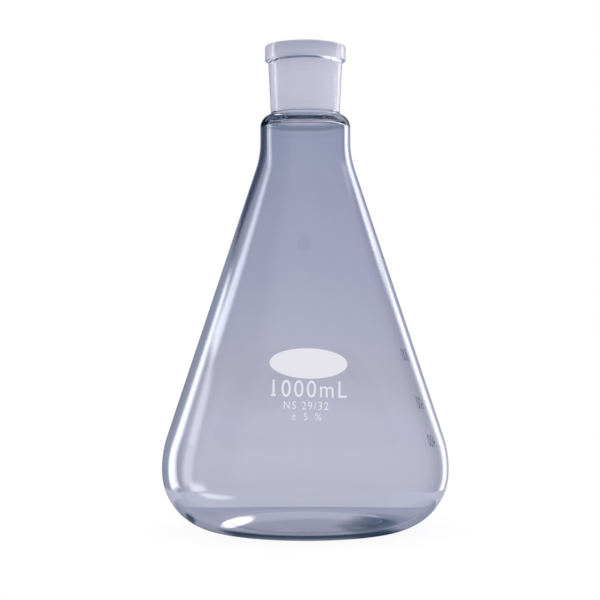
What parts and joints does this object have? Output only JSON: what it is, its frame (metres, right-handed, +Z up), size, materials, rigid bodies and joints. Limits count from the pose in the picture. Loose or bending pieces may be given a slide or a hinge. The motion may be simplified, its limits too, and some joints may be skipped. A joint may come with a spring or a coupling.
{
  "type": "erlenmeyer flask",
  "caption": "Conical glass flask with a rounded heel, a ground standard-taper socket with a beaded rim, a white marking spot and a volume scale.",
  "frame": {"origin": "on the axis, level with the ring that the flask stands on", "axes": "+Z up along the axis of revolution, out of the mouth; the printed front faces -Y; +X to the right seen from the front"},
  "size_m": [0.131, 0.131, 0.2215],
  "materials": {
    "clear_glass": "clear, faint blue-grey tint, ground socket frosted",
    "white_enamel": "satin fired enamel"
  },
  "bodies": {
    "root": {"flask": "clear_glass", "marking_spot": "white_enamel", "volume_scale": "white_enamel"}
  },
  "joints": []
}
